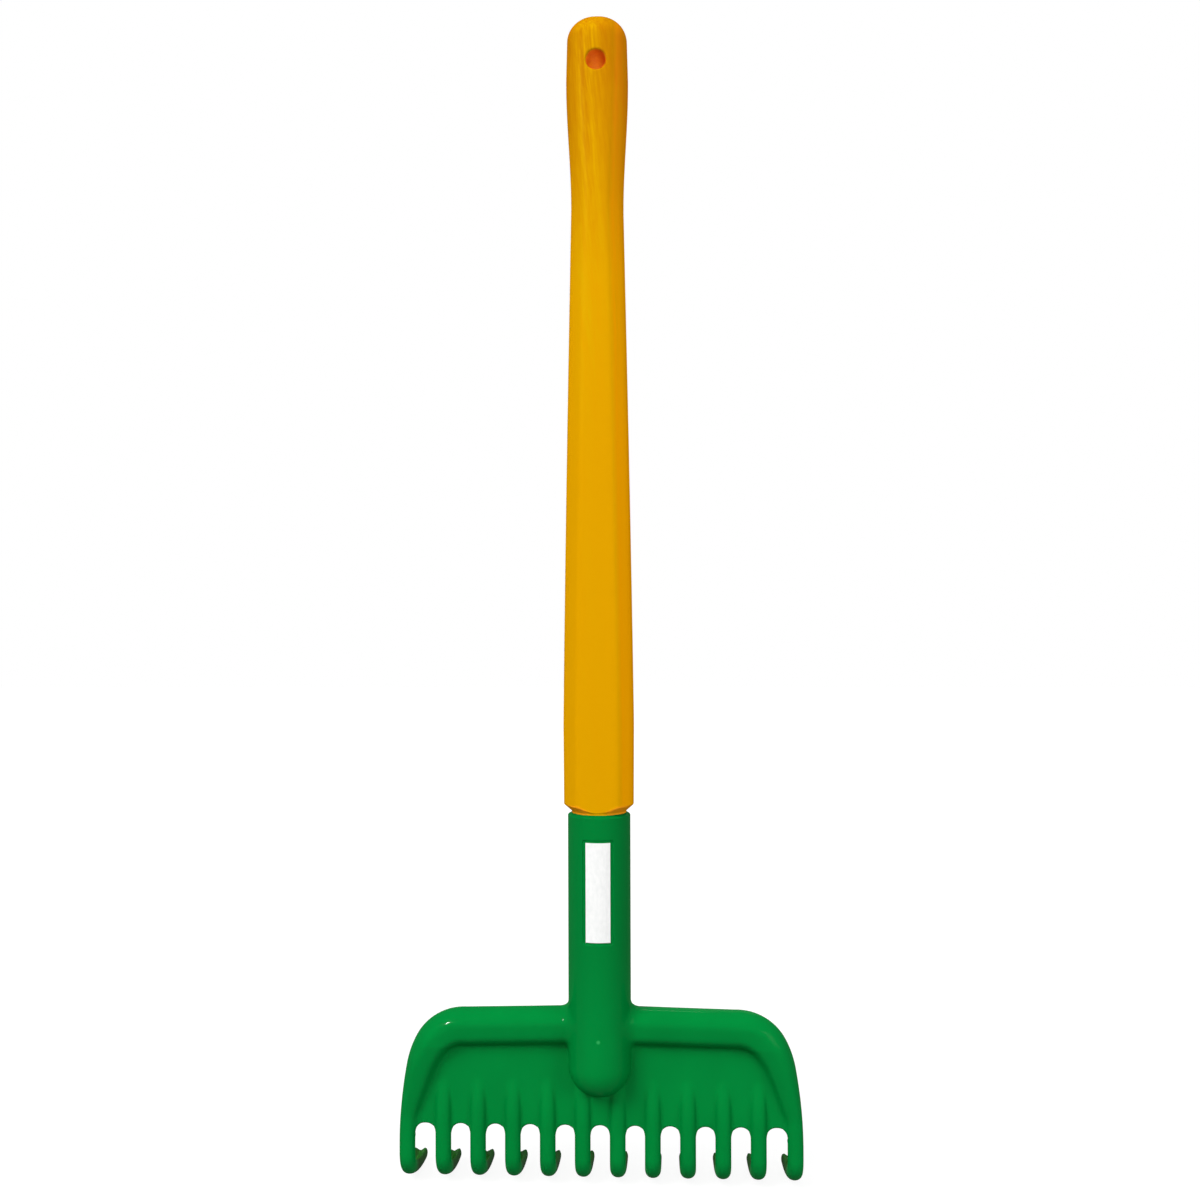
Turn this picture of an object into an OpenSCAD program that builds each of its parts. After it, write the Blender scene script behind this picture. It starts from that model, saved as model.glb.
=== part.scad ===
// Long-handled sand rake: a wooden handle whose tenon is screwed into a moulded head.
// Millimetres. +Z runs up the handle, the front faces -Y, the origin is the middle of the hang hole.

/* [Handle] */
// Length of the handle from its top to its shoulder
handle_len = 405; // [300:1:600]
// Thickness from the front flat to the back flat
handle_depth = 28.6; // [26:0.1:36]
// Width of the flared grip end
grip_w = 31.8; // [28:0.1:40]
// Width of the grip end where its rounded top starts
crown_w = 30.8; // [24:0.1:38]
// Width of the small flat at the very top
crown_flat = 5; // [2:0.5:10]
// Width at the waist below the grip end
waist_w = 26.6; // [22:0.1:34]
// Width at the belly, the widest place
belly_w = 35.8; // [30:0.1:44]
// Width just above the foot
foot_w = 35.3; // [30:0.1:44]
// Drop from the top to the widest place of the grip end
flare_drop = 33; // [25:1:45]
// Drop from the top to the waist
waist_drop = 99; // [70:1:140]
// Drop from the top to the belly
belly_drop = 360; // [220:1:500]
// Height of the rounded top end
crown_rise = 13; // [8:0.5:18]
// How full the handle swells between waist and belly: 0 is straight, 1 is round
swell = 0.25; // [0:0.05:1]
// Width of the bevel along each long edge
edge_bevel = 7.2; // [3:0.1:9]
// Height of the cone that brings the foot in to the socket
foot_cone_h = 4.2; // [2:0.1:8]

/* [Hang hole] */
// Diameter of the hole through the grip end
hang_hole_d = 10; // [5:0.5:14]
// Drop from the top to the middle of the hole
hang_hole_drop = 26; // [20:0.5:34]

/* [Socket] */
// Outside diameter of the socket tube
socket_d = 32; // [28:0.1:40]
// Thickness of the socket wall
socket_wall = 3; // [2.4:0.1:4.5]
// Length of the socket from its mouth to its domed end
socket_len = 146.5; // [135:0.5:180]
// Size of the bevel round the mouth
mouth_bevel = 2; // [0.5:0.1:2.4]
// Height of the bevel round the mouth
mouth_bevel_h = 2.4; // [1:0.1:4]
// Length of the tenon inside the socket
tenon_len = 100; // [60:1:110]
// Gap all round between the tenon and the socket
tenon_clearance = 0.1; // [0.05:0.05:0.4]

/* [Label] */
// Width of the label across the tube
label_w = 13.4; // [8:0.1:18]
// Height of the label
label_h = 50; // [30:0.5:60]
// Thickness of the label
label_t = 0.3; // [0.2:0.05:0.5]
// Depth of the recess that holds the label
recess_depth = 0.5; // [0.3:0.05:0.8]
// Margin of the recess round the label
recess_margin = 1.2; // [0.4:0.1:2]
// Drop from the socket mouth to the top of the label
label_drop = 14.6; // [10:0.1:25]

/* [Screw] */
// Drop from the socket mouth to the screw
screw_drop = 40; // [25:1:55]
// Diameter of the shank
screw_d = 4; // [3:0.1:5]
// Diameter of the countersunk head
screw_head_d = 7.6; // [6:0.1:9]
// Length of the screw under its head
screw_len = 18; // [12:1:24]
// Gap all round between the screw and its holes
screw_clearance = 0.1; // [0.05:0.05:0.3]
// Length of the screw's point
screw_point_h = 4; // [2:0.1:6]
// Depth of the cross slot in the head
screw_slot_depth = 1.3; // [0.8:0.1:1.6]
// Length of each arm of the cross slot, from end to end
screw_slot_l = 4.6; // [3:0.1:5.2]
// Width of the cross slot
screw_slot_w = 1; // [0.6:0.1:1.4]
// How far the head sits below the back of the socket
screw_sink = 0.6; // [0.2:0.1:0.9]

/* [Rim] */
// Diameter of the round rim
rim_d = 19.2; // [16:0.1:24]
// Wall of the hollow rim
rim_wall = 3; // [2.4:0.1:4]
// Outside radius of the rim's two corners
corner_r = 28; // [22:0.5:34]
// Lean of the rim's two sides, in degrees
side_lean = 16; // [8:0.5:22]
// Drop from the socket mouth to the top of the rim
rim_drop = 102; // [90:0.5:110]

/* [Blade] */
// Thickness of the blade
blade_t = 3.5; // [2.5:0.1:4.5]
// Distance of the blade's front behind the middle of the socket
blade_setback = 1; // [0:0.1:3]
// Drop from the top of the rim to the roots of the tines
root_drop = 60; // [55:0.5:75]
// Length of the ribs above the roots
rib_len = 25; // [15:0.5:28]

/* [Tines] */
// Number of tines
tine_count = 12; // [6:2:16]
// Distance from one tine to the next
tine_pitch = 18; // [16:0.1:22]
// Extra distance out to the last tine on each side
end_extra = 0.7; // [0:0.1:2]
// Width of a tine
tine_w = 8.1; // [7:0.1:10]
// Thickness of a tine
tine_t = 6.4; // [5:0.1:6.8]
// Drop from the roots to where the bend starts
leg_len = 17.8; // [12:0.1:26]
// Radius of the bend at the middle of the tine
bend_r = 8; // [6:0.1:12]
// Angle of the bend, in degrees
bend_angle = 80; // [60:1:90]
// Length of the straight stretch behind the bend
reach_len = 28.3; // [18:0.1:36]
// Radius of the corners at the top of each gap
root_r = 4.2; // [2:0.1:4.4]

/* [Hidden] */
$fn = 96;
// How far a cut runs past the face that it opens
past = 2;
// How far the blade's edge and the ribs run into the moulding round them
sunk = 1.5;
// How far one stretch of a swept shape runs into the stretch before it, and how much thinner it is
lap = 1;
step = 0.15;
// Steps along the curved stretches of the handle's outline
crown_steps = 10;
neck_steps = 12;
body_steps = 12;
// Steps round each corner of the blade
arc_steps = 6;
// Radius at which the hollow of the rim's side ends
hollow_end_r = 2.2;
// How far the tines' backs lie inside the blade's back
tine_inset = 0.2;
// How far the edges of a gap run into the tines beside it
gap_bite = 0.3;

// Levels along the handle
top_z = hang_hole_drop;
mouth_z = top_z - handle_len;
dome_z = mouth_z - socket_len + socket_d / 2;
rim_top_z = mouth_z - rim_drop;
rim_z = rim_top_z - rim_d / 2;
root_z = rim_top_z - root_drop;
bend_z = root_z - leg_len;
label_z = mouth_z - label_drop - label_h;
screw_z = mouth_z - screw_drop;
screw_y = socket_d / 2 - screw_sink;

// Radii of the socket and the handle's foot
socket_r = socket_d / 2;
bore_r = socket_r - socket_wall;
neck_r = socket_r - mouth_bevel;
tenon_r = bore_r - tenon_clearance;
recess_r = socket_r - recess_depth;

// Places across the blade
blade_back = blade_setback + blade_t;
rim_y = blade_setback + blade_t / 2;
rim_r = rim_d / 2;
tine_y = blade_back - tine_inset - tine_t / 2;
tine_r = tine_t / 2;
// Angle at which a rib sinks into the blade as it goes up
rib_fade = asin((blade_setback - tine_y + tine_r) / rib_len);

// The rim's path: a top run, a corner arc and a leaning side that ends on the last tine
end_x = (tine_count - 1) / 2 * tine_pitch + end_extra;
side_r = tine_w / 2;
arc_r = corner_r - rim_r;
arc_angle = 90 - side_lean;
arc_z = rim_z - arc_r;
side_top_z = arc_z + arc_r * cos(arc_angle);
side_len = (side_top_z - root_z) / cos(side_lean);
side_top_x = end_x - side_len * sin(side_lean);
arc_x = side_top_x - arc_r * sin(arc_angle);

// Half width of the handle at a drop below its top, before the crown rounds it off
function body_half(s) =
    s < crown_rise ? crown_w / 2
    : s < flare_drop
        ? let (t = (s - crown_rise) / (flare_drop - crown_rise))
            crown_w / 2 + (grip_w - crown_w) / 2 * t
    : s < waist_drop
        ? let (t = (s - flare_drop) / (waist_drop - flare_drop))
            (grip_w + waist_w) / 4 + (grip_w - waist_w) / 4 * cos(180 * t)
    : s < belly_drop
        ? let (t = (s - waist_drop) / (belly_drop - waist_drop))
            waist_w / 2 + (belly_w - waist_w) / 2 * (t + swell * (sin(90 * t) - t))
    : let (t = (s - belly_drop) / (handle_len - belly_drop))
        belly_w / 2 + (foot_w - belly_w) / 2 * t;

// The crown is an arc of an ellipse, from the edge of the top flat to the sides
crown_start = asin(crown_flat / crown_w);
function crown_angle(i) = crown_start + (90 - crown_start) * i / crown_steps;

// Share of the full width or depth that the crown leaves at a drop below the top
function crown_share(s) =
    s < crown_rise ? sqrt(1 - pow(cos(crown_start) * (1 - s / crown_rise), 2)) : 1;

// Drops at which the outline has a point
crown_drops = [for (i = [0 : crown_steps]) crown_rise * (1 - cos(crown_angle(i)) / cos(crown_start))];
neck_drops = [for (i = [0 : neck_steps]) flare_drop + (waist_drop - flare_drop) * i / neck_steps];
body_drops = [for (i = [1 : body_steps]) waist_drop + (belly_drop - waist_drop) * i / body_steps];
drops = concat(crown_drops, neck_drops, body_drops, [handle_len]);
// The bevels have their points halfway between, so that no four faces have to meet in one point
bevel_drops = concat([0], [for (i = [1 : len(drops) - 1]) (drops[i - 1] + drops[i]) / 2], [handle_len]);

// Half sizes of the handle's section: across, front to back, and across the bevelled corners
function half_across(s) = body_half(s) * crown_share(s);
function half_depth(s) = handle_depth / 2 - edge_bevel * (1 - crown_share(s));
function half_corner(s) = (half_across(s) + handle_depth / 2 - edge_bevel) / sqrt(2);

// A slab with a two-sided outline, given by its right side and seen from a side that is turned about Z
module shaped_slab(right, turn) {
    left = [for (i = [len(right) - 1 : -1 : 0]) [-right[i].x, right[i].y]];
    rotate([0, 0, turn])
        rotate([90, 0, 0])
            linear_extrude(height = 3 * belly_w, center = true)
                polygon(concat(right, left));
}

// The handle's shaped bar, before its foot, tenon and holes
module shaped_bar() {
    across = [for (s = drops) [half_across(s), top_z - s]];
    depth = [for (s = drops) [half_depth(s), top_z - s]];
    corner = [for (s = bevel_drops) [half_corner(s), top_z - s]];
    intersection() {
        shaped_slab(across, 0);
        shaped_slab(depth, 90);
        shaped_slab(corner, 45);
        shaped_slab(corner, -45);
        foot_cone();
    }
}

// The cone that trims the foot down to the neck
module foot_cone() {
    slope = (foot_w / 2 - neck_r) / foot_cone_h;
    translate([0, 0, mouth_z])
        cylinder(h = handle_len, r1 = neck_r, r2 = neck_r + slope * handle_len);
}

module handle() {
    color([0.88, 0.62, 0.03])
        difference() {
            union() {
                shaped_bar();
                translate([0, 0, mouth_z - tenon_len])
                    cylinder(h = tenon_len + past, r = tenon_r);
            }
            rotate([90, 0, 0])
                cylinder(h = handle_depth + 2 * past, d = hang_hole_d, center = true);
            screw_shank(screw_clearance);
        }
}

// Places a shape at the top of the screw's head, with its Z running in from the back
module on_screw() {
    translate([0, screw_y, screw_z])
        rotate([90, 0, 0])
            children();
}

// The screw's shank and point, grown by a gap
module screw_shank(gap) {
    on_screw() {
        cylinder(h = screw_len - screw_point_h, d = screw_d + 2 * gap);
        translate([0, 0, screw_len - screw_point_h])
            cylinder(h = screw_point_h + gap, r1 = screw_d / 2 + gap, r2 = gap);
    }
}

// The screw's countersunk head, grown by a gap, with a straight rim of a given height above it
module screw_head(gap, rise) {
    head_h = (screw_head_d - screw_d) / 2;
    on_screw() {
        cylinder(h = head_h, r1 = screw_head_d / 2 + gap, r2 = screw_d / 2 + gap);
        translate([0, 0, -rise])
            cylinder(h = rise, r = screw_head_d / 2 + gap);
    }
}

module retaining_screw() {
    // the head's rim stays below the back of the socket
    head_rim = screw_sink / 2;
    color([0.72, 0.73, 0.75])
        difference() {
            union() {
                screw_head(0, head_rim);
                screw_shank(0);
            }
            on_screw()
                for (turn = [0, 90])
                    rotate([0, 0, turn])
                        cube([screw_slot_l, screw_slot_w, 2 * screw_slot_depth], center = true);
        }
}

// A sector of a ring round the socket's middle, centred on the front
module front_sector(inner_r, wall, width, height) {
    spread = width / inner_r * 180 / PI;
    rotate([0, 0, -90 - spread / 2])
        rotate_extrude(angle = spread)
            translate([inner_r, 0])
                square([wall, height]);
}

module label() {
    color("white")
        translate([0, 0, label_z])
            front_sector(recess_r, label_t, label_w, label_h);
}

// A round section that is cut off level with the blade's back
module bead_section(r) {
    difference() {
        circle(r = r);
        translate([-rim_d, -rim_d - (blade_back - rim_y)]) square([2 * rim_d, rim_d]);
    }
}

// The rim's top run, still solid
module rim_run() {
    translate([0, rim_y, rim_z])
        rotate(a = 180, v = [1, 0, 1])
            linear_extrude(height = 2 * (arc_x + lap), center = true)
                bead_section(rim_r - step);
}

// The hollow of the top run
module rim_run_hollow() {
    translate([0, rim_y, rim_z])
        rotate([0, 90, 0])
            cylinder(h = 2 * (arc_x + past), r = rim_r - rim_wall - step, center = true);
}

// The rim's corner, already hollow
module rim_corner() {
    translate([arc_x, rim_y, arc_z])
        rotate([90, 0, 0])
            rotate([0, 0, side_lean])
                rotate_extrude(angle = arc_angle)
                    translate([arc_r, 0])
                        difference() {
                            bead_section(rim_r);
                            circle(r = rim_r - rim_wall);
                        }
}

// Places a shape on the top of the rim's leaning side, with its Z running down the side
module on_side() {
    translate([side_top_x, rim_y, side_top_z])
        rotate([0, 180 - side_lean, 0])
            children();
}

// The rim's leaning side, still solid, which narrows to the last tine
module rim_side() {
    on_side()
        difference() {
            translate([0, 0, -lap])
                cylinder(h = side_len + lap, r1 = rim_r - step, r2 = side_r);
            translate([-rim_d, blade_back - rim_y, -past])
                cube([2 * rim_d, rim_d, side_len + 2 * past]);
        }
}

// The hollow of the leaning side, which fades out on the way down
module rim_side_hollow() {
    top_r = rim_r - rim_wall - step;
    hollow_len = side_len * (top_r - hollow_end_r) / (rim_r - side_r);
    on_side()
        translate([0, 0, -past])
            cylinder(h = hollow_len + past, r1 = top_r, r2 = hollow_end_r);
}

// The rim: a round bead, hollow behind
module rim() {
    difference() {
        union() {
            rim_run();
            for (side = [0, 1])
                mirror([side, 0, 0]) {
                    rim_corner();
                    rim_side();
                }
        }
        rim_run_hollow();
        for (side = [0, 1])
            mirror([side, 0, 0]) rim_side_hollow();
    }
}

// The right half of the blade's outline, from the top down, whose edge lies inside the rim's wall
function blade_side() =
    let (inset = rim_r - sunk, arc_in = arc_r - inset, end_inset = side_r - sunk)
    concat(
        [for (i = [0 : arc_steps])
            let (a = arc_angle * i / arc_steps)
            [arc_x + arc_in * sin(a), arc_z + arc_in * cos(a)]],
        [[end_x - end_inset, root_z], [end_x - end_inset, root_z - root_r]]
    );

// The whole outline: down the right side and back up the left one
function blade_outline() =
    let (side = blade_side(), last = len(side) - 1)
    concat(side, [for (i = [last : -1 : 0]) [-side[i].x, side[i].y]]);

// The gap between two tines, with its two round corners, its root at the origin
module gap_shape(width) {
    half = width / 2;
    depth = 2 * root_r + past;
    translate([-half, -depth]) square([width, depth - root_r]);
    translate([-(half - root_r), -depth]) square([2 * (half - root_r), depth]);
    for (side = [-1, 1])
        translate([side * (half - root_r), -root_r]) circle(r = root_r);
}

// Where the tines stand, from the left to the right
function tine_x(i) =
    let (x = (i - (tine_count - 1) / 2) * tine_pitch)
    i == 0 ? -end_x : i == tine_count - 1 ? end_x : x;

module blade() {
    translate([0, blade_back, 0])
        rotate([90, 0, 0])
            linear_extrude(height = blade_t)
                difference() {
                    polygon(blade_outline());
                    for (i = [0 : tine_count - 2]) {
                        width = tine_x(i + 1) - tine_x(i) - tine_w + 2 * gap_bite;
                        translate([(tine_x(i) + tine_x(i + 1)) / 2, root_z])
                            gap_shape(width);
                    }
                }
}

// A tine's section, flat in the middle and round at both sides, made thinner all round
module tine_section(thin) {
    square([tine_w - tine_t, tine_t - 2 * thin], center = true);
    for (side = [-1, 1])
        translate([side * (tine_w - tine_t) / 2, 0]) circle(r = tine_r - thin);
}

// A tine from its root, or a rise above it, to its rounded tip, at x = 0
module tine(rise) {
    translate([0, tine_y, bend_z])
        linear_extrude(height = leg_len + rise) tine_section(0);
    translate([0, tine_y + bend_r, bend_z]) {
        rotate([90, 0, 90])
            rotate([0, 0, 180])
                rotate_extrude(angle = bend_angle)
                    translate([bend_r, 0])
                        rotate([0, 0, 90]) tine_section(0);
        rotate([bend_angle, 0, 0])
            translate([0, -bend_r, -reach_len]) {
                linear_extrude(height = reach_len + lap) tine_section(step);
                tine_tip();
            }
    }
}

// The rounded end of a tine
module tine_tip() {
    half = (tine_w - tine_t) / 2;
    for (side = [-1, 1])
        translate([side * half, 0, 0]) sphere(r = tine_r - step);
    rotate([0, 90, 0])
        cylinder(h = 2 * half, r = tine_r - step, center = true);
}

// A rib that carries a tine's front up the blade and fades into it
module rib() {
    intersection() {
        translate([0, tine_y, root_z])
            rotate([-rib_fade, 0, 0])
                translate([0, 0, -lap])
                    linear_extrude(height = rib_len + lap) tine_section(step);
        translate([-tine_w, blade_back - sunk - 2 * tine_t, root_z - tine_t])
            cube([2 * tine_w, 2 * tine_t, rib_len + 2 * tine_t]);
    }
}

// The socket tube with its bevelled mouth and domed end, still solid
module socket_body() {
    translate([0, 0, dome_z]) {
        sphere(r = socket_r);
        cylinder(h = mouth_z - mouth_bevel_h - dome_z, r = socket_r);
    }
    translate([0, 0, mouth_z - mouth_bevel_h])
        cylinder(h = mouth_bevel_h, r1 = socket_r, r2 = neck_r);
}

module rake_head() {
    color([0, 0.49, 0.21])
        difference() {
            union() {
                rim();
                blade();
                socket_body();
                for (side = [-1, 1])
                    translate([side * end_x, 0, 0]) tine(side_r * tan(side_lean));
                for (i = [1 : tine_count - 2])
                    translate([tine_x(i), 0, 0]) {
                        tine(tine_r * tan(rib_fade));
                        rib();
                    }
            }
            // bore, with a round bottom that keeps the wall even
            translate([0, 0, dome_z]) {
                sphere(r = bore_r);
                cylinder(h = mouth_z - dome_z + past, r = bore_r);
            }
            // recess for the label
            translate([0, 0, label_z - recess_margin])
                front_sector(recess_r, past, label_w + 2 * recess_margin, label_h + 2 * recess_margin);
            // hole and countersink for the screw
            screw_head(screw_clearance, screw_sink + past);
            screw_shank(screw_clearance);
        }
}

rake_head();
handle();
retaining_screw();
label();
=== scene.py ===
"""A long-handled sand rake: a lacquered wooden handle on a one-piece moulded head."""

import math

import bmesh
import bpy
import numpy as np
from mathutils import Matrix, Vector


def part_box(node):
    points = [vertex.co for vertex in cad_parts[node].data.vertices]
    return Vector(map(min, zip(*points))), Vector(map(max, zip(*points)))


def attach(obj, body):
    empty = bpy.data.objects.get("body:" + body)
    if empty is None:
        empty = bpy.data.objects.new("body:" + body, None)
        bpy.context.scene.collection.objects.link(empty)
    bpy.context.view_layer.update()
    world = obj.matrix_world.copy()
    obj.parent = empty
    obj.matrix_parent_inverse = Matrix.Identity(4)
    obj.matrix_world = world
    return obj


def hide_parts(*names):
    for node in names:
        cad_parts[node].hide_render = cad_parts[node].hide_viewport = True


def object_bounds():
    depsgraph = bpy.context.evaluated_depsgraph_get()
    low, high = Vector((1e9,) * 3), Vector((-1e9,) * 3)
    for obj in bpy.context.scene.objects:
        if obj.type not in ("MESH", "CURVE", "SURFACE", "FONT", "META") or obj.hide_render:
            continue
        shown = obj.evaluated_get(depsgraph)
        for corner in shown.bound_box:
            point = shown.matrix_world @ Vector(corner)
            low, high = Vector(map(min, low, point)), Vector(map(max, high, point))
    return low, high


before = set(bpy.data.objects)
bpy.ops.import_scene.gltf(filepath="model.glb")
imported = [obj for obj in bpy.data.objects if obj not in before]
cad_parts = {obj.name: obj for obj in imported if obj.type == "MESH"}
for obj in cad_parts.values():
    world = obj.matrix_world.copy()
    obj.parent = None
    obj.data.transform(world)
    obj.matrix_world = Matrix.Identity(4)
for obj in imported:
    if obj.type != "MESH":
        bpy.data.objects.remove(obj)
cad_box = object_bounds()


# The handle: one bar of straight-grained wood, shaped wide and flat with a bevel along each long edge,
# rounded at the grip end and coned in at the foot, with a tenon that goes down into the head.
# It is dipped in yellow lacquer, which lies thin over the grain where hands hold it.

# the script's own unit, in the metres of the frame
MM = 0.001


def corners(node):
    """The lowest and the highest corner of a solid, in millimetres."""
    low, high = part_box(node)
    return np.array(low) / MM, np.array(high) / MM


handle_low, handle_high = corners("handle")
head_low, head_high = corners("rake_head")
top_z = handle_high[2]
mouth_z = head_high[2]
# the socket's lip, down to which the foot shows, lies a little below the solid's mouth
lip_drop = 1.0
lip_z = mouth_z - lip_drop
handle_len = top_z - lip_z
handle_half_depth = handle_high[1]
belly_half = handle_high[0]
crown_half, grip_half, waist_half, foot_half = 15.4, 15.9, 13.3, 17.65
crown_rise, flare_drop, waist_drop, belly_drop = 13.0, 33.0, 99.0, 360.0
swell = 0.25
edge_bevel = 7.2
# the power that rounds the edges between the flats, at three drops below the top
edge_drops, edge_powers = (0, 60, 260), (9, 11, 28)
neck_r, neck_h, foot_cone_h = 14.0, 0.8, 4.0
tenon_r = 12.9
hang_hole_r, hole_lip = 5.0, 1.1
# points round the bar, rows down it, and the window in them that is left for the hang hole's eyelet
columns = 128
crown_rows, hole_rows, body_rows, foot_rows = 15, 11, 62, 33
window_half, window_columns = 7.5, 9
face_rows, lip_rows = 5, 6
# points closer than this merge, and edges sharper than this stay crisp
same_place, crease = 0.001, math.radians(50)


def body_half(s):
    """Half the handle's width at a drop below its top: straight lines at the grip and the foot, half a
    cosine wave from grip to waist, and a line with a share of a sine swell from waist to belly."""
    grip = np.interp(s, [crown_rise, flare_drop], [crown_half, grip_half])
    t = np.clip((s - flare_drop) / (waist_drop - flare_drop), 0, 1)
    neck = (grip_half + waist_half) / 2 + (grip_half - waist_half) / 2 * np.cos(np.pi * t)
    u = np.clip((s - waist_drop) / (belly_drop - waist_drop), 0, 1)
    body = waist_half + (belly_half - waist_half) * (u + swell * (np.sin(np.pi / 2 * u) - u))
    foot = np.interp(s, [belly_drop, handle_len], [belly_half, foot_half])
    return np.select([s < flare_drop, s < waist_drop, s < belly_drop], [grip, neck, body], foot)


def handle_point(t, s):
    """A point of the bar at angle t and drop s. Four pairs of flats bound the section: the sides, the
    front and back, and two pairs of bevels. A power mean of the four limits rounds the edges between
    them, gently at the grip and crisply lower down. The crown draws the section in as an ellipse
    does, and a cone trims the foot to its neck."""
    crown = np.sqrt(1 - (1 - np.minimum(s, crown_rise) / crown_rise) ** 2)
    a, b = body_half(s), handle_half_depth
    c = a + b - edge_bevel
    power = np.interp(s, edge_drops, edge_powers)
    cos, sin = np.cos(t), np.sin(t)
    limits = np.abs([cos, sin, (a * cos + b * sin) / c, (a * cos - b * sin) / c])
    reach = np.sum(limits ** power, axis=0) ** (-1 / power)
    x, y = a * crown * reach * cos, b * crown * reach * sin
    cone_rise = np.maximum(handle_len - neck_h - s, 0)
    cone_r = neck_r + cone_rise * (foot_half - neck_r) / (foot_cone_h - neck_h)
    trim = np.minimum(1, cone_r / np.maximum(np.hypot(x, y), neck_r / 2))
    return np.stack([x * trim, y * trim, top_z - s + 0 * t], axis=-1)


def grid_quads(rows, columns):
    """The quads of a grid of points that closes on itself from its last column to its first."""
    row = np.arange(rows - 1)[:, None] * columns
    column = np.arange(columns)[None, :]
    after = (column + 1) % columns
    return np.stack([row + column, row + columns + column, row + columns + after, row + after], axis=-1)


def make_piece(name, points, quads):
    """A mesh object from points in millimetres and quads. Points that fall together are merged, which
    closes poles and seams, and the faces are turned outwards."""
    mesh = bpy.data.meshes.new(name)
    mesh.from_pydata(points * MM, [], quads)
    shape = bmesh.new()
    shape.from_mesh(mesh)
    bmesh.ops.remove_doubles(shape, verts=shape.verts, dist=same_place * MM)
    bmesh.ops.recalc_face_normals(shape, faces=shape.faces)
    shape.to_mesh(mesh)
    shape.free()
    mesh.shade_smooth()
    mesh.set_sharp_from_angle(angle=crease)
    piece = bpy.data.objects.new(name, mesh)
    bpy.context.scene.collection.objects.link(piece)
    return piece


# rows of the bar: the crown, the stretch with the hang hole, the long body and the foot, then the tenon
foot_drop = handle_len - 2 * foot_cone_h
crown_drops = crown_rise * (1 - np.cos(np.linspace(0, np.pi / 2, crown_rows)))
hole_drops = np.linspace(top_z - window_half, top_z + window_half, hole_rows)
between_drop = (crown_rise + hole_drops[0]) / 2
body_drops = np.linspace(top_z + window_half, foot_drop, body_rows)[1:]
foot_drops = np.linspace(foot_drop, handle_len, foot_rows)[1:]
drops = np.concatenate([crown_drops, [between_drop], hole_drops, body_drops, foot_drops])
angles = np.arange(columns) * 2 * np.pi / columns
bar = handle_point(*np.meshgrid(angles, drops))
around = np.stack([np.cos(angles), np.sin(angles), 0 * angles], axis=-1)
tenon = np.array([[tenon_r, lip_z], [tenon_r, handle_low[2]], [0, handle_low[2]]])
tenon_rings = tenon[:, None, :1] * around + tenon[:, None, 1:] * [0, 0, 1]
bar = np.concatenate([bar, tenon_rings])
bar_quads = grid_quads(len(bar), columns)

# a window is left open in front and behind, and the eyelet of the hang hole fills both
first_row = len(crown_drops) + 1
last_row = first_row + len(hole_drops) - 1
front_column, back_column = 3 * columns // 4, columns // 4
window = np.zeros(bar_quads.shape[:2], bool)
for middle in (front_column, back_column):
    window[first_row:last_row, middle - window_columns:middle + window_columns] = True
bar_quads = bar_quads[~window]

# the window's edge, once round
left_column, right_column = front_column - window_columns, front_column + window_columns
loop_rows = np.concatenate([
    np.full(right_column - left_column, first_row), np.arange(first_row, last_row),
    np.full(right_column - left_column, last_row), np.arange(last_row, first_row, -1)])
loop_columns = np.concatenate([
    np.arange(left_column, right_column), np.full(last_row - first_row, right_column),
    np.arange(right_column, left_column, -1), np.full(last_row - first_row, left_column)])
loop_t, loop_s = angles[loop_columns], drops[loop_rows]
loop_point = handle_point(loop_t, loop_s)
hole_angle = np.arctan2(loop_point[:, 2], loop_point[:, 0])
lip_r = hang_hole_r + hole_lip
lip_s = top_z - lip_r * np.sin(hole_angle)
lip_t = 1.5 * np.pi + np.arctan(lip_r * np.cos(hole_angle) / body_half(lip_s))
# from the window's edge to the lip along the bar's own face, round the lip, then straight through
face_rings = [handle_point(loop_t + (lip_t - loop_t) * w, loop_s + (lip_s - loop_s) * w)
              for w in np.linspace(0, 1, face_rows)]
lip_y = face_rings[-1][:, 1]
lip_rings = [np.stack([(hang_hole_r + hole_lip * (1 - np.sin(q))) * np.cos(hole_angle),
                       lip_y + hole_lip * (1 - np.cos(q)),
                       (hang_hole_r + hole_lip * (1 - np.sin(q))) * np.sin(hole_angle)], axis=-1)
             for q in np.linspace(0, np.pi / 2, lip_rows)[1:]]
eyelet_front = np.array(face_rings + lip_rings)
eyelet = np.concatenate([eyelet_front, eyelet_front[::-1] * [1, -1, 1]])
eyelet_quads = grid_quads(*eyelet.shape[:2]).reshape(-1, 4) + bar.size // 3

handle_points = np.concatenate([bar.reshape(-1, 3), eyelet.reshape(-1, 3)])
handle = make_piece("lacquered_handle", handle_points, np.concatenate([bar_quads, eyelet_quads]))
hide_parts("handle")
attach(handle, "root")


def new_material(name, **sockets):
    """A material with one main shader, whose plain sockets are set here."""
    material = bpy.data.materials.new(name)
    material.use_nodes = True
    shader = material.node_tree.nodes["Principled BSDF"]
    for socket, value in sockets.items():
        shader.inputs[socket.replace("_", " ")].default_value = value
    return material, material.node_tree, shader


def add_node(tree, kind, operation=None, **sockets):
    """A node with its unlinked sockets set by name."""
    node = tree.nodes.new("ShaderNode" + kind)
    if operation:
        node.operation = operation
    for socket, value in sockets.items():
        node.inputs[socket.replace("_", " ")].default_value = value
    return node


def colour_mix(tree, factor, first, second):
    """A blend of two colours, either of which may be a socket, by a factor."""
    mix = tree.nodes.new("ShaderNodeMix")
    mix.data_type = "RGBA"
    tree.links.new(factor, mix.inputs["Factor"])
    for socket, colour in ((mix.inputs[6], first), (mix.inputs[7], second)):
        if isinstance(colour, tuple):
            socket.default_value = (*colour, 1)
        else:
            tree.links.new(colour, socket)
    return mix.outputs[2]


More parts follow.
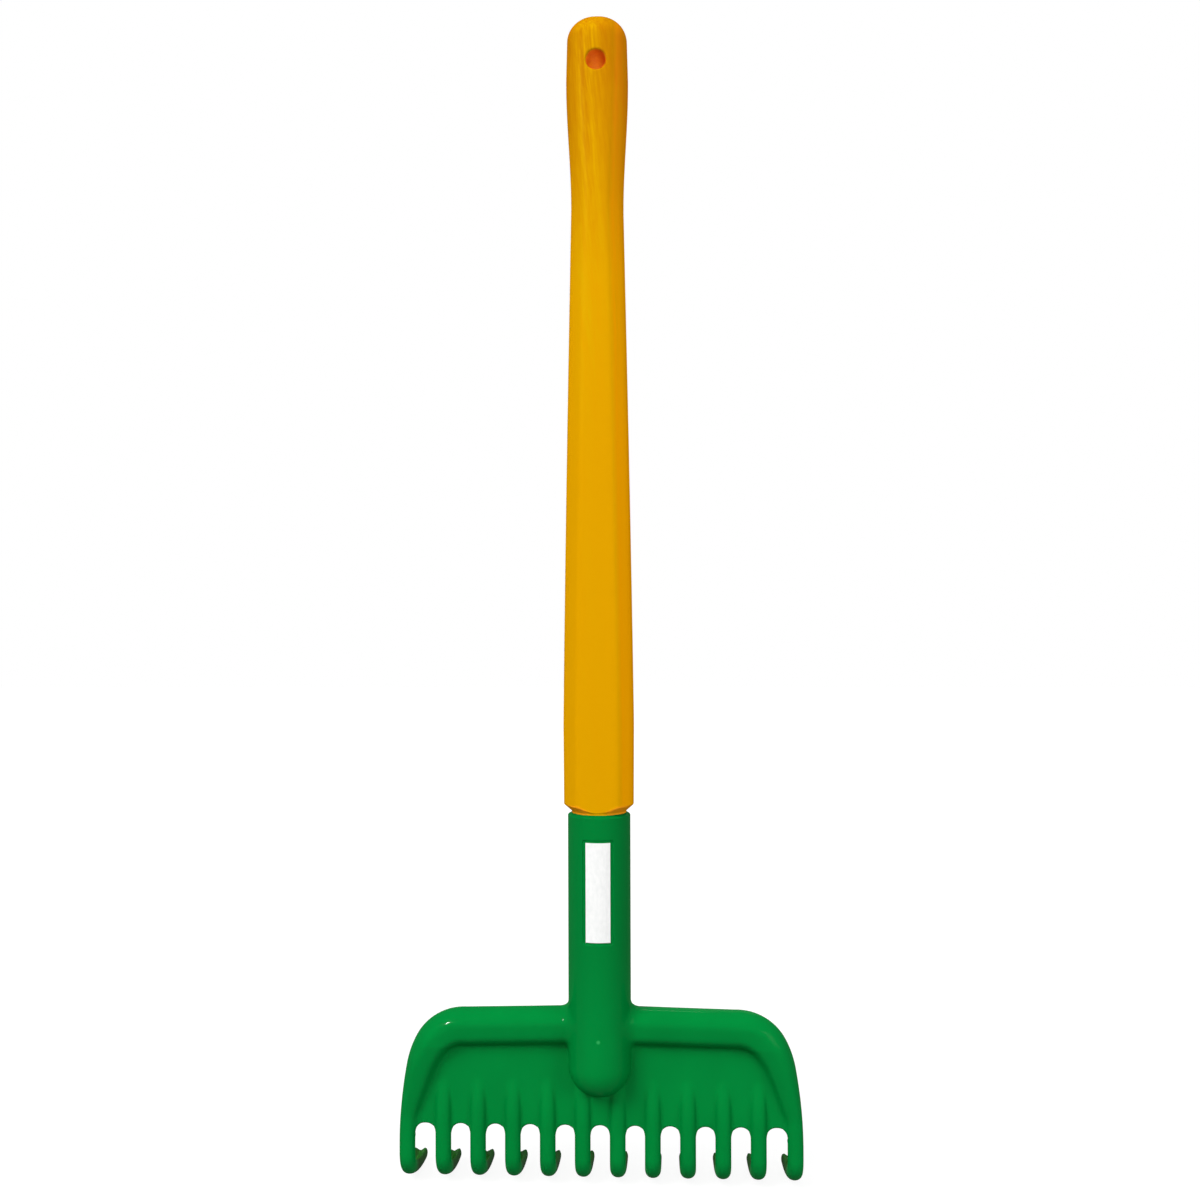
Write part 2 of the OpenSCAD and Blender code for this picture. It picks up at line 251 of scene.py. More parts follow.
def own_place(tree):
    """The piece's own coordinates in metres, whole and split into X, Y and Z."""
    place = tree.nodes.new("ShaderNodeTexCoord").outputs["Object"]
    split = tree.nodes.new("ShaderNodeSeparateXYZ")
    tree.links.new(place, split.inputs["Vector"])
    return place, split.outputs


def distance_along(tree, place, axes):
    """How far a place is from the origin, counting only the axes that are given as one."""
    kept = add_node(tree, "VectorMath", "MULTIPLY")
    kept.inputs[1].default_value = axes
    tree.links.new(place, kept.inputs[0])
    length = add_node(tree, "VectorMath", "LENGTH")
    tree.links.new(kept.outputs["Vector"], length.inputs[0])
    return length.outputs["Value"]


def stretched_noise(tree, size, lean=0.0, **sockets):
    """Noise on the piece's own coordinates, with a grain of this size in millimetres along each axis,
    leaned about Y."""
    place = tree.nodes.new("ShaderNodeTexCoord").outputs["Object"]
    mapping = add_node(tree, "Mapping", Scale=[edge * MM for edge in size], Rotation=(0, lean, 0))
    mapping.vector_type = "TEXTURE"
    noise = add_node(tree, "TexNoise", Scale=1.0, **sockets)
    tree.links.new(place, mapping.inputs["Vector"])
    tree.links.new(mapping.outputs["Vector"], noise.inputs["Vector"])
    return noise.outputs["Fac"]


def combine(tree, operation, first, second):
    """The result of a plain sum, product or other operation on two values."""
    node = add_node(tree, "Math", operation)
    tree.links.new(first, node.inputs[0])
    tree.links.new(second, node.inputs[1])
    return node.outputs[0]


def ramp(tree, value, low, high, to_low=0.0, to_high=1.0):
    """A value carried from one range to another, with both ends held."""
    step = add_node(tree, "MapRange", From_Min=low, From_Max=high, To_Min=to_low, To_Max=to_high)
    tree.links.new(value, step.inputs["Value"])
    return step.outputs["Result"]


def fade(tree, place, start, end, to_start=0.0, to_end=1.0):
    """A value that changes from one place to another, both in millimetres."""
    return ramp(tree, place, start * MM, end * MM, to_start, to_end)


def spread(tree, noise, low=0.0, high=1.0):
    """Noise spread over a range. Its values bunch round a half, so the middle ones fill the range."""
    return ramp(tree, noise, 0.3, 0.7, low, high)


def set_finish(tree, shader, colour, roughness):
    """Links the colour and the roughness of a finish to its shader."""
    tree.links.new(colour, shader.inputs["Base Color"])
    tree.links.new(roughness, shader.inputs["Roughness"])


def set_relief(tree, shader, height, strength, depth):
    """A fine relief: noise taken as height, with a strength and a depth in millimetres."""
    bump = add_node(tree, "Bump", Strength=strength, Distance=depth * MM)
    tree.links.new(height, bump.inputs["Height"])
    tree.links.new(bump.outputs["Normal"], shader.inputs["Normal"])


body_yellow, grip_yellow = (0.695, 0.326, 0.0004), (0.53, 0.19, 0.001)
# the bevel's two colours are painted light, lighter and redder than the front's, for the warm light in its
# shade
body_bevel_painted_light, grip_bevel_painted_light = (0.915, 0.372, 0.0004), (0.73, 0.222, 0.003)
grain_yellow = (0.68, 0.367, 0.001)
# the foot's orange is painted light for the shade on its cone, and the hole's red-orange is painted light
# bouncing in the bore
foot_painted_light, hole_painted_bounce = (1.0, 0.36, 0.01), (1.0, 0.215, 0.026)
lacquer_rough = (0.36, 0.48)
lacquer, tree, shader = new_material(
    "yellow_lacquered_wood", Specular_IOR_Level=0.0, Coat_Weight=0.001, Coat_Roughness=0.3)
place, axes = own_place(tree)
# the lacquer is redder at the grip. The right-hand bevel is painted light: a lighter, redder yellow that
# stands in for the warm light in its shade. Its edge runs in from the grip to the waist and out again to
# the belly
grip_low, grip_high = -110, -10
bevel_top, bevel_waist, bevel_low = (-7, 8.5), (-73, 6.2), (-334, 10.7)
bevel_blur = 2
grip_share = fade(tree, axes["Z"], grip_low, grip_high)
coat = colour_mix(tree, grip_share, body_yellow, grip_yellow)
bevel_painted_light = colour_mix(tree, grip_share, body_bevel_painted_light, grip_bevel_painted_light)
edge_above, edge_below = (
    fade(tree, axes["Z"], bevel_waist[0], far_z, bevel_waist[1] * MM, far_x * MM)
    for far_z, far_x in (bevel_top, bevel_low))
bevel_edge = combine(tree, "MAXIMUM", edge_above, edge_below)
past_edge = combine(tree, "SUBTRACT", axes["X"], bevel_edge)
coat = colour_mix(tree, fade(tree, past_edge, 0, bevel_blur), coat, bevel_painted_light)
# light grain shows through it in the upper half, most of all left of the middle
broad_grain, broad_lean = (4, 4, 90), -0.09
fine_grain, fine_lean = (1, 1, 12), -0.11
grain_low, grain_high, least_low = -200, -120, 0.15
left_edge, left_full, least_left = -12, -7, 0.3
right_edge, right_full, least_right = 5, -3, 0.35
broad_from, broad_full, broad_share = 0.4, 0.66, 0.55
fine_from, fine_full, fine_share = 0.42, 0.7, 0.65
grain_strength, grain_depth = 0.06, 0.4
broad = stretched_noise(tree, broad_grain, broad_lean, Detail=2.0)
fine = stretched_noise(tree, fine_grain, fine_lean, Detail=4.0, Roughness=0.65)
grain_up = fade(tree, axes["Z"], grain_low, grain_high, least_low, 1.0)
grain_left = fade(tree, axes["X"], left_edge, left_full, least_left, 1.0)
grain_right = fade(tree, axes["X"], right_edge, right_full, least_right, 1.0)
grain_place = combine(tree, "MULTIPLY", grain_up, combine(tree, "MULTIPLY", grain_left, grain_right))
streaks = combine(tree, "ADD", ramp(tree, broad, broad_from, broad_full, 0.0, broad_share),
                  ramp(tree, fine, fine_from, fine_full, 0.0, fine_share))
coat = colour_mix(tree, combine(tree, "MULTIPLY", streaks, grain_place), coat, grain_yellow)
# painted light: the foot's cone, which faces down, is painted a brighter orange out to both sides, to
# lighten the shade on it
cone_low, cone_high = lip_z + neck_h, lip_z + foot_cone_h
cone_edge, cone_blur = 0.2, 1.0
painted_inner, painted_outer = 3, 6.5
cone_radius = fade(tree, axes["Z"], cone_low, cone_high, neck_r * MM, foot_half * MM)
bar_radius = distance_along(tree, place, (1, 1, 0))
past_cone = combine(tree, "SUBTRACT", bar_radius, cone_radius)
on_cone = combine(tree, "MULTIPLY", fade(tree, past_cone, -cone_edge - cone_blur, -cone_edge),
                  fade(tree, axes["Z"], cone_high + cone_blur, cone_high))
from_middle = distance_along(tree, place, (1, 0, 0))
foot_light_share = combine(tree, "MULTIPLY", on_cone, fade(tree, from_middle, painted_inner, painted_outer))
coat = colour_mix(tree, foot_light_share, coat, foot_painted_light)
# the bore of the hang hole is painted red-orange, as painted light for the warm light bouncing inside it
bounce_blur = 0.2
from_hole = distance_along(tree, place, (1, 0, 1))
hole_bounce_share = fade(tree, from_hole, hang_hole_r + bounce_blur, hang_hole_r - bounce_blur)
coat = colour_mix(tree, hole_bounce_share, coat, hole_painted_bounce)
set_finish(tree, shader, coat, spread(tree, broad, *lacquer_rough))
set_relief(tree, shader, fine, grain_strength, grain_depth)
handle.data.materials.append(lacquer)


# The rake head: one moulding of dyed polypropylene. A domed socket for the handle runs down over a
# blade that is stiffened by a round rim, hollow behind, and carries twelve tines. Each tine is a claw
# bent to the back, with a groove along its inner side that keeps the wall even.

socket_r = -head_low[1]
half_w = head_high[0]
socket_len, socket_wall = 146.5, 3.0
# drops below the socket's mouth, and of the tines' roots and the filling mark below the rim's top
rim_drop, label_drop, screw_drop = 102.0, 14.6, 40.0
root_drop, gate_drop = 60.0, 12.3
dome_z = mouth_z - socket_len + socket_r
bore_r = socket_r - socket_wall
mouth_bevel, mouth_bevel_h = 2.1, 1.2
rim_top_z = mouth_z - rim_drop
rim_r, rim_wall, end_wall = 9.6, 3.0, 3.8
# the rim's front is planed nearly flat, at a share of its radius and with a slight lean
rim_flat, flat_lean = 0.94, math.radians(7)
# its top edge falls away from the socket: the fall for each millimetre, where it is level, where it ends
top_fall, level_x, fall_end_x = 0.0248, 39.0, 68.0
# the outline's three arcs: each one's radius, and how far the edge has turned down from level at its end
outline_arcs = [(28.0, math.radians(62)), (48.0, math.radians(79.7)), (236.0, math.radians(90))]
blade_front, blade_back = 1.0, 4.5
rim_y = (blade_front + blade_back) / 2
root_z = rim_top_z - root_drop
# the rim narrows along each side, from its full width at the corner to the last tine's, and turns into
# that tine over a short stretch
band_root = 3.75
band_slope = (rim_r - band_root) / (rim_top_z - 2 * rim_r - root_z)
rim_end_rise, rim_end_h = 10.0, 12.0
# a tine: its width and thickness, its place, then the leg, bend and reach that it follows
tine_w, tip_w = 8.1, 8.8
root_t, tip_t, claw_swell = 6.9, 7.6, 1.0
section_power = 2.2
tine_proud = 0.1
tine_y = blade_back + tine_proud - root_t / 2
tine_pitch, inner_tines = 18.0, 5
end_x = half_w - tine_w / 2
leg_len, bend_r, bend_angle = 15.85, 9.5, math.radians(71.5)
reach_len, reach_turn, tip_len = 30.4, math.radians(20), 3.5
bend_z = root_z - leg_len
reach_r = reach_len / reach_turn
tine_len = leg_len + bend_r * bend_angle + reach_len
groove_slope, groove_round = 0.86, 0.4
groove_start, groove_run = 1.0, 7.0
rib_len, rib_tail, rib_inset = 22.0, 8.0, 0.2
rib_drop = blade_front - tine_y + root_t / 2
gap_drop, gap_r, gap_past = 0.5, 4.9, 1.0
gap_top_z = root_z - gap_drop
blade_end_z = root_z - gap_r
label_arc, label_h = 6.7, 50.0
label_z = mouth_z - label_drop - label_h / 2
recess_depth, recess_margin, recess_corner = 0.5, 1.2, 1.0
recess_r = socket_r - recess_depth
screw_sink = 0.6
screw_z, screw_y = mouth_z - screw_drop, socket_r - screw_sink
seat_r, shank_r = 3.9, 2.1
gate_z = rim_top_z - gate_drop
# radii of the fillets, then of the rounded edges
blade_fillet, rib_fillet, dome_fillet, rim_fillet = 3.0, 1.0, 0.4, 5.0
ridge_edge, back_edge, claw_edge, gap_edge, end_edge = 0.7, 0.8, 0.6, 1.0, 2.0
bevel_round, lip_edge, bore_edge, recess_edge, seat_edge = 0.35, 0.3, 0.3, 0.25, 0.2
hollow_edge, hollow_round = 0.3, 1.5


def soft_min(a, b, r):
    """The smaller of two distances, with a fillet of about r where the two surfaces meet."""
    h = np.maximum(r - np.abs(a - b), 0) / r
    return np.minimum(a, b) - h * h * r / 4


def soft_max(a, b, r):
    """The larger of two distances, with the edge between the two surfaces rounded by about r."""
    return -soft_min(-a, -b, r)


def round_corner(u, v, r):
    """Distance in a plane from the quarter where u and v are below zero, with its corner rounded."""
    u, v = u + r, v + r
    return np.hypot(np.maximum(u, 0), np.maximum(v, 0)) + np.minimum(np.maximum(u, v), 0) - r


def outline_depth(x, z):
    """How far a point lies inside the head's outline: a top edge that falls a little to each side, then
    three arcs, each with a longer radius, that end upright at the last tine."""
    centres = [np.zeros(2)]
    for (r, lean), (next_r, _) in zip(outline_arcs, outline_arcs[1:]):
        centres.append(centres[-1] - (next_r - r) * np.array([math.sin(lean), math.cos(lean)]))
    shift = np.array([half_w - outline_arcs[-1][0] - centres[-1][0], rim_top_z - outline_arcs[0][0]])
    x = np.abs(x)
    z = z + top_fall * (np.minimum(x, fall_end_x) - level_x)
    depth = rim_top_z - z
    start = 0.0
    for (r, lean), centre in zip(outline_arcs, centres):
        dx, dz = x - centre[0] - shift[0], z - centre[1] - shift[1]
        on_arc = np.arctan2(dx, dz) > start
        depth = np.where(on_arc, np.where(dz < 0, r - dx, r - np.hypot(dx, dz)), depth)
        start = lean
    return depth


def tine_line(y, z):
    """Where a point lies by the line that a tine follows in its own plane: how far it is to the line's
    inner side, and how far along. The line is a straight leg, an arc to the back and a long flat arc."""
    dy, dz = y - tine_y - bend_r, z - bend_z
    angle = np.arctan2(-dz, -dy)
    on_leg = (angle < 0) & (angle > -np.pi / 2)
    on_bend = (angle >= 0) & (angle <= bend_angle)
    lift = reach_r - bend_r
    ry, rz = dy - lift * math.cos(bend_angle), dz - lift * math.sin(bend_angle)
    bend_side, reach_side = bend_r - np.hypot(dy, dz), reach_r - np.hypot(ry, rz)
    reach_along = leg_len + bend_r * bend_angle + reach_r * (np.arctan2(-rz, -ry) - bend_angle)
    side = np.select([on_leg, on_bend], [y - tine_y, bend_side], reach_side)
    along = np.select([on_leg, on_bend], [root_z - z, leg_len + bend_r * angle], reach_along)
    return side, along


def claw_share_along(along):
    """The share of the way from the leg's end to the tip."""
    return np.clip((along - leg_len) / (tine_len - leg_len), 0, 1)


def tine_half(along):
    """Half a tine's width, which grows a little from the leg's end to the tip."""
    return (tine_w + (tip_w - tine_w) * claw_share_along(along)) / 2


def tine_skin(across, side, along):
    """Distance from a tine's skin. The section is a superellipse that swells half way along the claw.
    The same power rounds off the tip, and a straight-sided groove with a round floor runs along the
    inner side."""
    t = claw_share_along(along)
    half_side = (root_t + (tip_t - root_t) * t) / 2 + claw_swell * 4 * t * (1 - t)
    end = np.maximum(along - tine_len + tip_len, 0) / tip_len
    size = (np.abs(across / tine_half(along)) ** section_power + np.abs(side / half_side) ** section_power
            + end ** section_power) ** (1 / section_power)
    rise = np.clip((groove_start + groove_run - along) / groove_run, 0, 1) * tine_w
    groove = side - rise - groove_slope * np.hypot(across, groove_round)
    return soft_max((size - 1) * half_side, groove / math.hypot(1, groove_slope), claw_edge)


def head_field(x, y, z):
    """Signed distance from the moulding's skin, below zero inside it: the rim, blade, tines and socket
    run together with fillets, and the bore, the label's recess and the screw's seat are cut away."""
    wide = np.abs(x)
    depth = outline_depth(x, z)
    side, along = tine_line(y, z)

    # the rim, which runs into the last tine at each end
    half = np.clip(band_root + band_slope * (z - root_z), tine_w / 2, rim_r)
    share = (half - tine_w / 2) / (rim_r - tine_w / 2)
    round_r = root_t / 2 + (rim_r - root_t / 2) * share
    middle_y = tine_y + (rim_y - tine_y) * share
    across = np.maximum(np.abs(depth - half) - (half - round_r), 0)
    flat = (middle_y - y) * math.cos(flat_lean) + across * np.sign(depth - half) * math.sin(flat_lean)
    rim = soft_max(np.hypot(across, y - middle_y) - round_r, flat - rim_flat * round_r, ridge_edge)
    rim = soft_max(rim, y - blade_back, back_edge)
    hollow_r = round_r - end_wall + (end_wall - rim_wall) * share
    hollow = np.hypot(across, np.minimum(y - middle_y, 0)) - hollow_r
    last = tine_skin(depth - tine_half(along), side, along)
    blend = np.clip((root_z + rim_end_rise - z) / rim_end_h, 0, 1)
    rim = rim + (last - rim) * blend * blend * (3 - 2 * blend)

    # the other tines, each with a rib that sinks into the blade as it goes up
    tine_index = np.clip(np.round(wide / tine_pitch - 0.5), 0, inner_tines - 1)
    rib_side = side - rib_drop * (np.maximum(z - root_z, 0) / rib_len) ** 2
    inner = tine_skin(wide - (tine_index + 0.5) * tine_pitch, rib_side, along)
    inner = np.maximum(inner, np.where(z > root_z, y - blade_back + rib_inset, -1.0))
    inner = np.maximum(inner, z - root_z - rib_len - rib_tail)

    # the blade, with a round-topped gap between each two tines
    last_inner_x = (inner_tines - 0.5) * tine_pitch
    gap_index = np.round(wide / tine_pitch)
    last_gap = gap_index >= inner_tines
    gap_x = np.where(last_gap, (last_inner_x + end_x) / 2, gap_index * tine_pitch)
    gap_half = np.where(last_gap, (end_x - last_inner_x) / 2, tine_pitch / 2) - tine_w / 2
    gap = round_corner(np.abs(wide - gap_x) - gap_half, z - gap_top_z, gap_r)
    gap = np.maximum(gap, blade_end_z - gap_past - z)
    plate = np.abs(y - rim_y) - (blade_back - blade_front) / 2
    plate = np.maximum(plate, 2 * half - rim_wall / 2 - depth)
    plate = soft_max(plate, blade_end_z - z, end_edge)
    body = soft_max(soft_min(plate, rim, blade_fillet), -gap, gap_edge)
    body = soft_min(body, inner, rib_fillet)

    # the socket, with its bevelled mouth and its bore
    radial = np.hypot(x, y)
    dome = np.hypot(radial, np.minimum(z - dome_z, 0))
    bevel = radial - socket_r + (z - lip_z + mouth_bevel_h) * mouth_bevel / mouth_bevel_h
    bevel = bevel / math.hypot(1, mouth_bevel / mouth_bevel_h)
    tube = soft_max(soft_max(dome - socket_r, bevel, bevel_round), z - lip_z, lip_edge)
    fillet = np.interp(z, [dome_z, rim_top_z - rim_r], [dome_fillet, rim_fillet])
    hollow = soft_max(hollow, -tube, hollow_round)
    body = soft_max(soft_min(body, tube, fillet), -hollow, hollow_edge)
    body = soft_max(body, bore_r - dome, bore_edge)

    # the recess for the label in front, and the screw's countersunk seat behind
    recess_arc = np.abs(recess_r * np.arctan2(x, -y)) - label_arc - recess_margin
    recess = round_corner(recess_arc, np.abs(z - label_z) - label_h / 2 - recess_margin, recess_corner)
    body = soft_max(body, -np.maximum(recess, recess_r - radial), recess_edge)
    seat = np.hypot(x, z - screw_z) - np.interp(screw_y - y, [0, seat_r - shank_r], [seat_r, shank_r])
    return soft_max(body, -np.maximum(seat, bore_r / 2 - y), seat_edge)


# the skin's points settle in a few rounds of short pushes, by a slope taken over a small step
settle_rounds, settle_step, longest_push, least_slope = 5, 0.05, 0.5, 0.05
normal_step = 0.12


def field_slope(field, points, step):
    """The field's slope at some points, from the values a small step to either side along each axis."""
    ahead = [field(*(points + step * axis).T) for axis in np.eye(3)]
    back = [field(*(points - step * axis).T) for axis in np.eye(3)]
    return (np.array(ahead) - np.array(back)).T / (2 * step)


def skin(field, xs, ys, zs):
    """The surface where a field is zero, on a grid with free spacing, with its slope at each point. Each
    grid cell that the surface crosses gets one point, the mean of its crossed edges, and each crossed
    edge gets one quad. The points then slide along the field's slope until they lie on the surface."""
    lines = [xs, ys, zs]
    values = field(*np.meshgrid(xs, ys, zs, indexing="ij"))
    cells = np.array(values.shape) - 1
    owners, crossings, quads = [], [], []
    for axis in range(3):
        low = np.moveaxis(np.moveaxis(values, axis, 0)[:-1], 0, axis)
        high = np.moveaxis(np.moveaxis(values, axis, 0)[1:], 0, axis)
        at = np.argwhere((low < 0) != (high < 0))
        a, b = low[tuple(at.T)], high[tuple(at.T)]
        point = np.stack([lines[k][at[:, k]] for k in range(3)], axis=-1)
        step = lines[axis][at[:, axis] + 1] - lines[axis][at[:, axis]]
        point[:, axis] += step * a / (a - b)
        second, third = (axis + 1) % 3, (axis + 2) % 3
        ring = []
        for back_second, back_third in ((0, 0), (1, 0), (1, 1), (0, 1)):
            cell = at.copy()
            cell[:, second] -= back_second
            cell[:, third] -= back_third
            ring.append(np.ravel_multi_index(cell.T, cells))
        ring = np.stack(ring, axis=-1)
        owners.append(ring.ravel())
        crossings.append(np.repeat(point, 4, axis=0))
        quads.append(np.where((a < 0)[:, None], ring, ring[:, ::-1]))
    owners, crossings, quads = map(np.concatenate, (owners, crossings, quads))
    used, index = np.unique(owners, return_inverse=True)
    count = np.bincount(index)
    points = np.stack([np.bincount(index, crossings[:, k]) / count for k in range(3)], axis=-1)
    quads = np.searchsorted(used, quads)
    for _ in range(settle_rounds):
        slope = field_slope(field, points, settle_step)
        steepness = np.maximum((slope ** 2).sum(axis=1, keepdims=True), least_slope)
        push = field(*points.T)[:, None] * slope / steepness
        points = points - np.clip(push, -longest_push, longest_push)
    return points, quads, field_slope(field, points, normal_step)


def spaced(*stretches):
    """Grid lines over joined stretches, each given as its start, its end and its spacing."""
    runs = [np.linspace(a, b, max(2, round(abs(b - a) / gap) + 1))[:-1] for a, b, gap in stretches]
    return np.concatenate(runs + [[stretches[-1][1]]])


# the grid is closest round the label's recess, the screw's seat, the mouth and the front of the socket,
# and wide along the plain stretches of the socket
margin, edge_reach, seat_reach, mouth_reach = 1.3, 1.2, 5.0, 5.0
plain_gap, edge_gap = 2.5, 0.4
recess_near_x, recess_far_x = 6.0, 9.5
front_y, back_y = head_low[1] + 4, 9.0
above_rim_z = rim_top_z + 6
half_xs = spaced((0, recess_near_x, 1.0), (recess_near_x, recess_far_x, edge_gap),
                 (recess_far_x, half_w + 1.35, 0.95))
head_xs = np.concatenate([-half_xs[:0:-1], half_xs])
head_ys = spaced((head_low[1] - margin, front_y, 0.55), (front_y, back_y, 0.93),
                 (back_y, head_high[1] + 1.8, 1.2))
recess_top = label_z + label_h / 2 + recess_margin
recess_end = label_z - label_h / 2 - recess_margin
head_zs = spaced((head_low[2] - margin, above_rim_z, 0.99),
                 (above_rim_z, recess_end - edge_reach, plain_gap),
                 (recess_end - edge_reach, recess_end + edge_reach, edge_gap),
                 (recess_end + edge_reach, screw_z - seat_reach, plain_gap),
                 (screw_z - seat_reach, screw_z + seat_reach, 0.8),
                 (screw_z + seat_reach, recess_top - edge_reach, plain_gap),
                 (recess_top - edge_reach, recess_top + edge_reach, edge_gap),
                 (recess_top + edge_reach, mouth_z - mouth_reach, plain_gap),
                 (mouth_z - mouth_reach, mouth_z + 0.8, 0.45))
head_points, head_quads, head_normals = skin(head_field, head_xs, head_ys, head_zs)
head_mesh = bpy.data.meshes.new("moulded_head")
head_mesh.from_pydata(head_points * MM, [], head_quads)
head_mesh.shade_smooth()
head_mesh.normals_split_custom_set_from_vertices(
    head_normals / np.linalg.norm(head_normals, axis=1, keepdims=True))
head = bpy.data.objects.new("moulded_head", head_mesh)
bpy.context.scene.collection.objects.link(head)
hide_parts("rake_head")
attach(head, "root")

# the socket's and the claws' darker greens are painted shade, and the gate's pale green is a painted
# highlight
deep_green, light_green, socket_painted_shade = (0.0, 0.21, 0.0355), (0.0, 0.232, 0.039), (0.0, 0.197, 0.033)
claw_painted_shade, gate_painted_glint = (0.02, 0.132, 0.016), (0.025, 0.36, 0.09)
plastic_rough = (0.3, 0.4)
plastic, tree, shader = new_material(
    "green_plastic", Specular_IOR_Level=0.0, Coat_Weight=0.04, Coat_Roughness=0.1)
place, axes = own_place(tree)
# the dye clouds with the flow of the melt. The socket is painted darker up its length as painted shade, and
# the claws' inner sides are painted duller and darker as painted shade
flow_size = (22, 22, 36)
socket_shade_from_z, socket_shade_to_z = -495, -450
claw_near_y, claw_far_y, claw_high_z, claw_low_z = 4, 12, -545, -553
flow = stretched_noise(tree, flow_size, Detail=3.0)
dye = colour_mix(tree, spread(tree, flow), deep_green, light_green)
dye = colour_mix(tree, fade(tree, axes["Z"], socket_shade_from_z, socket_shade_to_z), dye, socket_painted_shade)
# painted shade: the claws' inner sides, towards the back and below the roots, are painted a duller, darker
# green
claw_shade_share = combine(tree, "MULTIPLY", fade(tree, axes["Y"], claw_near_y, claw_far_y),
                     fade(tree, axes["Z"], claw_high_z, claw_low_z))
dye = colour_mix(tree, claw_shade_share, dye, claw_painted_shade)
# a small spot in front of the socket marks where the mould was filled, and is painted pale green as a
# painted highlight, the glint on it
gate_outer_r, gate_inner_r = 1.3, 0.4
from_gate = add_node(tree, "VectorMath", "DISTANCE")
from_gate.inputs[1].default_value = (0, -socket_r * MM, gate_z * MM)
tree.links.new(place, from_gate.inputs[0])
gate_glint_share = fade(tree, from_gate.outputs["Value"], gate_outer_r, gate_inner_r)
dye = colour_mix(tree, gate_glint_share, dye, gate_painted_glint)
set_finish(tree, shader, dye, spread(tree, flow, *plastic_rough))
# the mould leaves a faint peel all over
peel_size, peel_strength, peel_depth = (1.1, 1.1, 1.1), 0.03, 0.2
set_relief(tree, shader, stretched_noise(tree, peel_size, Detail=2.0), peel_strength, peel_depth)
head.data.materials.append(plastic)


# The label: a strip of plain white film with a fine fibre in it, cut square. It is stuck with its own
# adhesive into the shallow recess in front of the socket.

film_half, film_t = 6.28, 0.3
film_columns = 17


def film_point(arc, radius, z):
    """A point of a sheet bent round the socket. Its angle is its arc length from the middle line over the
    recess's radius, and its own radius and height are given."""
    turn = arc / recess_r
    return np.stack([radius * np.sin(turn), -radius * np.cos(turn), z + 0 * arc], axis=-1)


# one loop round the section, out along the front and home along the back, that folds flat at both ends
across_film = np.linspace(-film_half, film_half, film_columns)
film_arc = np.concatenate([across_film, across_film[::-1]])
film_r = recess_r + film_t * np.repeat([1, 0], len(across_film))
fold_r = np.full_like(film_r, recess_r + film_t / 2)
film_low, film_high = label_z - label_h / 2, label_z + label_h / 2
film_rings = [film_point(film_arc, fold_r, film_low), film_point(film_arc, film_r, film_low),
              film_point(film_arc, film_r, film_high), film_point(film_arc, fold_r, film_high)]
film_quads = grid_quads(len(film_rings), len(film_arc)).reshape(-1, 4)
label = make_piece("blank_label", np.concatenate(film_rings), film_quads)
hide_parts("label")
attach(label, "root")

grey_white, clear_white = (0.86, 0.87, 0.86), (0.93, 0.93, 0.92)
film_rough, fibre_size = (0.38, 0.5), (1.4, 1.4, 3)
film, tree, shader = new_material("white_film", Specular_IOR_Level=0.2)
fibres = stretched_noise(tree, fibre_size, Detail=3.0)
white = colour_mix(tree, spread(tree, fibres), grey_white, clear_white)
set_finish(tree, shader, white, spread(tree, fibres, *film_rough))
label.data.materials.append(film)


# The retaining screw: a zinc-plated countersunk wood screw with a cross slot, driven from the back
# through the socket's wall into the tenon.

dull_zinc, bright_zinc = (0.55, 0.56, 0.58), (0.68, 0.68, 0.67)
zinc_rough, spangle_size = (0.3, 0.45), (2, 2, 2)
zinc, tree, shader = new_material("zinc_steel", Metallic=1.0)
plating = stretched_noise(tree, spangle_size, Detail=4.0)
steel = colour_mix(tree, spread(tree, plating), dull_zinc, bright_zinc)
set_finish(tree, shader, steel, spread(tree, plating, *zinc_rough))
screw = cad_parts["retaining_screw"]
screw.data.materials.clear()
screw.data.materials.append(zinc)


# The floor and the room: a wide sheet of pale paper just below the tines, and an even white all round.
# Both look white to the camera and in a gloss. The paper is a little less bright close to the rake, where
# its shadow falls.

floor_half, floor_gap = 4.0, 0.5 * MM
floor_z = cad_box[0][2] - floor_gap
floor_corners = floor_half * np.array([(-1, -1, 0), (1, -1, 0), (1, 1, 0), (-1, 1, 0)]) + [0, 0, floor_z]
floor_mesh = bpy.data.meshes.new("floor")
floor_mesh.from_pydata(floor_corners, [], [(0, 1, 2, 3)])
floor = bpy.data.objects.new("floor", floor_mesh)
bpy.context.scene.collection.objects.link(floor)


def seen_rays(tree):
    """One for the rays that show a background, straight, mirrored or through glass, and zero for others."""
    rays = tree.nodes.new("ShaderNodeLightPath").outputs
    seen = combine(tree, "MAXIMUM", rays["Is Camera Ray"], rays["Is Glossy Ray"])
    return combine(tree, "MAXIMUM", seen, rays["Is Transmission Ray"])


paper_grey, paper_glow = (0.18, 0.18, 0.18, 1), (1, 1, 1, 1)
paper, tree, shader = new_material(
    "pale_floor", Roughness=0.9, Specular_IOR_Level=0.0, Base_Color=paper_grey, Emission_Color=paper_glow)
shade_near, shade_far, shade_glow = 150, 500, 0.9
place = tree.nodes.new("ShaderNodeTexCoord").outputs["Object"]
from_rake = distance_along(tree, place, (1, 1, 0))
shade = fade(tree, from_rake, shade_near, shade_far, shade_glow, 1.0)
glow = combine(tree, "MULTIPLY", shade, seen_rays(tree))
tree.links.new(glow, shader.inputs["Emission Strength"])
floor.data.materials.append(paper)

room_light = 0.3
world = bpy.context.scene.world or bpy.data.worlds.new("studio")
bpy.context.scene.world = world
world.use_nodes = True
tree = world.node_tree
background = tree.nodes["Background"]
background.inputs["Color"].default_value = (1, 1, 1, 1)
room_strength = ramp(tree, seen_rays(tree), 0.0, 1.0, room_light, 1.0)
tree.links.new(room_strength, background.inputs["Strength"])


